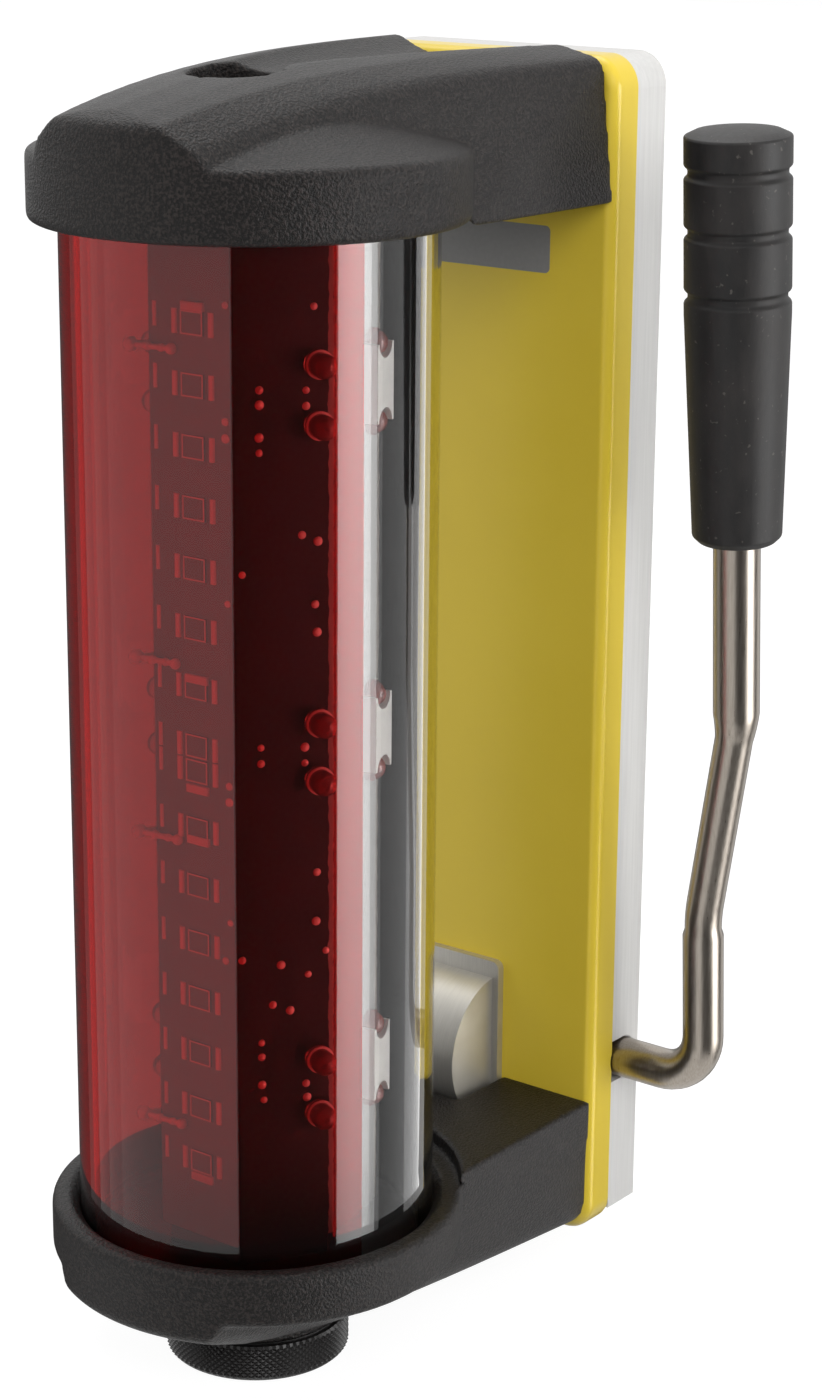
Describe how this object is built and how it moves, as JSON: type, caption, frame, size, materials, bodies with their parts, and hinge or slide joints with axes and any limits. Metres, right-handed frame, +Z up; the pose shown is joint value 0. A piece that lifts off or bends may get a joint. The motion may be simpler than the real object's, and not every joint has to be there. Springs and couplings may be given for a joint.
{
  "type": "laser receiver",
  "caption": "Machine-mount laser receiver: clear tube with sensor boards between two end caps on a magnetic back plate, with a side lever that prises the magnets off.",
  "frame": {"origin": "centre of the flat magnet face at the back", "axes": "+Z up along the tube, +Y backwards out of the magnet face, so the sensor side looks along -Y; the lever is on the +X side"},
  "size_m": [0.1198, 0.1363, 0.2727],
  "materials": {
    "yellow_plastic": "moulded, semi-gloss",
    "aluminium": "sawn and sanded",
    "plated_steel": "zinc plated",
    "ferrite": "sintered, ground flat",
    "satin_silver": "satin anodised",
    "stainless": "ground along its length",
    "grip_rubber": "moulded, matt",
    "bronze": "turned",
    "black_plastic": "moulded with a fine grain",
    "acrylic": "clear, extruded",
    "red_film": "dyed film",
    "dark_film": "black film",
    "seal_rubber": "moulded",
    "carrier_plastic": "moulded",
    "circuit_board": "solder mask",
    "diode_resin": "cast resin",
    "lamp_resin": "cast resin",
    "white_plastic": "moulded",
    "tinned_wire": "tinned",
    "cell_jacket": "wrapped can",
    "contact_metal": "plated",
    "black_anodised": "knurled, black anodised",
    "button_rubber": "moulded",
    "switch_plastic": "moulded"
  },
  "bodies": {
    "receiver": {"back_plate": "yellow_plastic", "magnet_base": "aluminium", "magnet_cups": "plated_steel", "magnet_cores": "ferrite", "magnet_screws": "plated_steel", "base_screws": "plated_steel", "arm_screws": "plated_steel", "pivot_housing": "satin_silver", "shaft_bushes": "bronze", "top_cap": "black_plastic", "bottom_cap": "black_plastic", "receiver_tube": "acrylic", "red_filter": "red_film", "rear_lining": "dark_film", "top_gasket": "seal_rubber", "bottom_gasket": "seal_rubber", "board_carrier": "carrier_plastic", "front_board": "circuit_board", "left_board": "circuit_board", "right_board": "circuit_board", "rear_boards": "circuit_board", "photodiodes": "diode_resin", "status_leds": "lamp_resin", "led_spacers": "white_plastic", "board_links": "tinned_wire", "battery_cells": "cell_jacket", "cell_contact": "contact_metal", "power_switch": "switch_plastic"},
    "lever": {"lever_rod": "stainless", "lever_grip": "grip_rubber", "release_cam": "plated_steel", "cam_pin": "plated_steel"},
    "seal_ring": {"cap_seal": "seal_rubber"},
    "battery_cap": {"battery_cap": "black_anodised", "contact_spring": "contact_metal"},
    "power_button": {"power_button": "button_rubber"}
  },
  "joints": [
    {"name": "lever_pull", "type": "hinge", "parent": "receiver", "child": "lever", "pos_m": [0, -0.0059, -0.09408], "axis": [1, 0, 0], "range_deg": [0, 90]},
    {"name": "cap_travel", "type": "slide", "parent": "receiver", "child": "seal_ring", "axis": [0, 0, -1], "range_m": [0, 0.006]},
    {"name": "cap_turn", "type": "hinge", "parent": "seal_ring", "child": "battery_cap", "pos_m": [0, -0.0928, -0.135], "axis": [0, 0, -1], "range_deg": [0, 1080]},
    {"name": "button_press", "type": "slide", "parent": "receiver", "child": "power_button", "axis": [0, 0, -1], "range_m": [0, 0.0008], "stiffness_N_per_m": 1500}
  ],
  "couplings": [
    {"joint": "cap_turn", "follows": "cap_travel", "rad_per_m": 3141.6}
  ]
}
